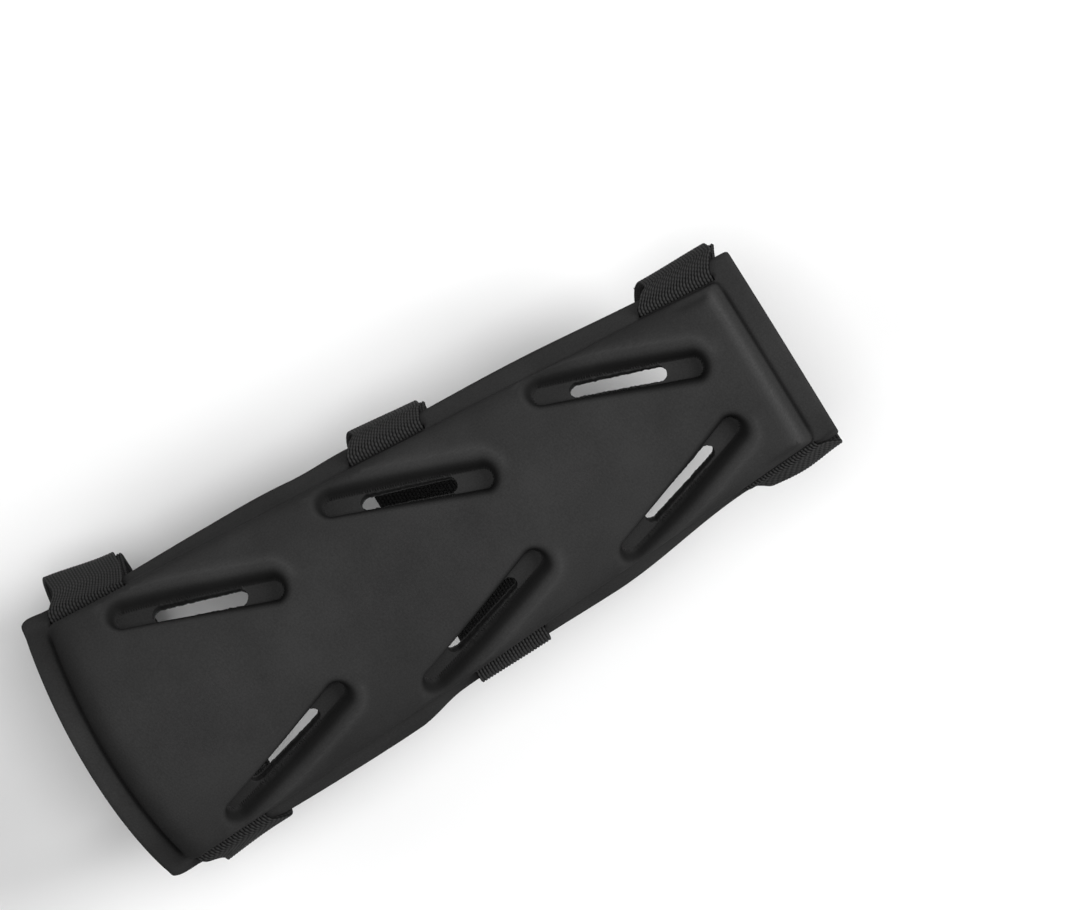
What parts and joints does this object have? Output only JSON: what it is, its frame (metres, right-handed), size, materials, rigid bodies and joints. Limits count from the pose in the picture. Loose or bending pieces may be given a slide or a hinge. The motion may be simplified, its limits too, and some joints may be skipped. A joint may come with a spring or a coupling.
{
  "type": "forearm guard",
  "caption": "Padded forearm guard: a vented, fabric-covered foam shell held on by elastic straps with hook-and-loop closing tabs.",
  "frame": {"origin": "on the axis of the shell's cylinder, at the middle of its length, where the forearm's axis runs", "axes": "+X along the forearm from the elbow end to the wrist end, +Z out of the pad's crown, +Y across the arm to the side where the straps are sewn"},
  "size_m": [0.2465, 0.0994, 0.0889],
  "materials": {
    "cover_fabric": "matte fine knit",
    "foam": "matte closed-cell foam",
    "lining_fabric": "matte brushed knit",
    "webbing": "ribbed woven elastic",
    "loop_pile": "brushed pile",
    "hook_tape": "moulded hooks",
    "thread": "twisted thread"
  },
  "bodies": {
    "shell": {"face_cover": "cover_fabric", "foam_core": "foam", "backing_lining": "lining_fabric", "elbow_strap": "webbing", "elbow_loop_patch": "loop_pile", "elbow_anchor_stitching": "thread", "middle_strap": "webbing", "middle_loop_patch": "loop_pile", "middle_anchor_stitching": "thread", "wrist_strap": "webbing", "wrist_loop_patch": "loop_pile", "wrist_anchor_stitching": "thread"},
    "elbow_closing_tab": {"elbow_tab": "webbing", "elbow_hook_patch": "hook_tape", "elbow_tab_stitching": "thread"},
    "middle_closing_tab": {"middle_tab": "webbing", "middle_hook_patch": "hook_tape", "middle_tab_stitching": "thread"},
    "wrist_closing_tab": {"wrist_tab": "webbing", "wrist_hook_patch": "hook_tape", "wrist_tab_stitching": "thread"}
  },
  "joints": [
    {"name": "elbow_tab_peel", "type": "hinge", "parent": "shell", "child": "elbow_closing_tab", "pos_m": [-0.101, -0.04668, 0.01939], "axis": [-1, 0, 0], "range_deg": [0, 120]},
    {"name": "middle_tab_peel", "type": "hinge", "parent": "shell", "child": "middle_closing_tab", "pos_m": [0.0015, -0.04268, 0.02709], "axis": [-1, 0, 0], "range_deg": [0, 120]},
    {"name": "wrist_tab_peel", "type": "hinge", "parent": "shell", "child": "wrist_closing_tab", "pos_m": [0.1, -0.03714, 0.03429], "axis": [-1, 0, 0], "range_deg": [0, 120]}
  ]
}
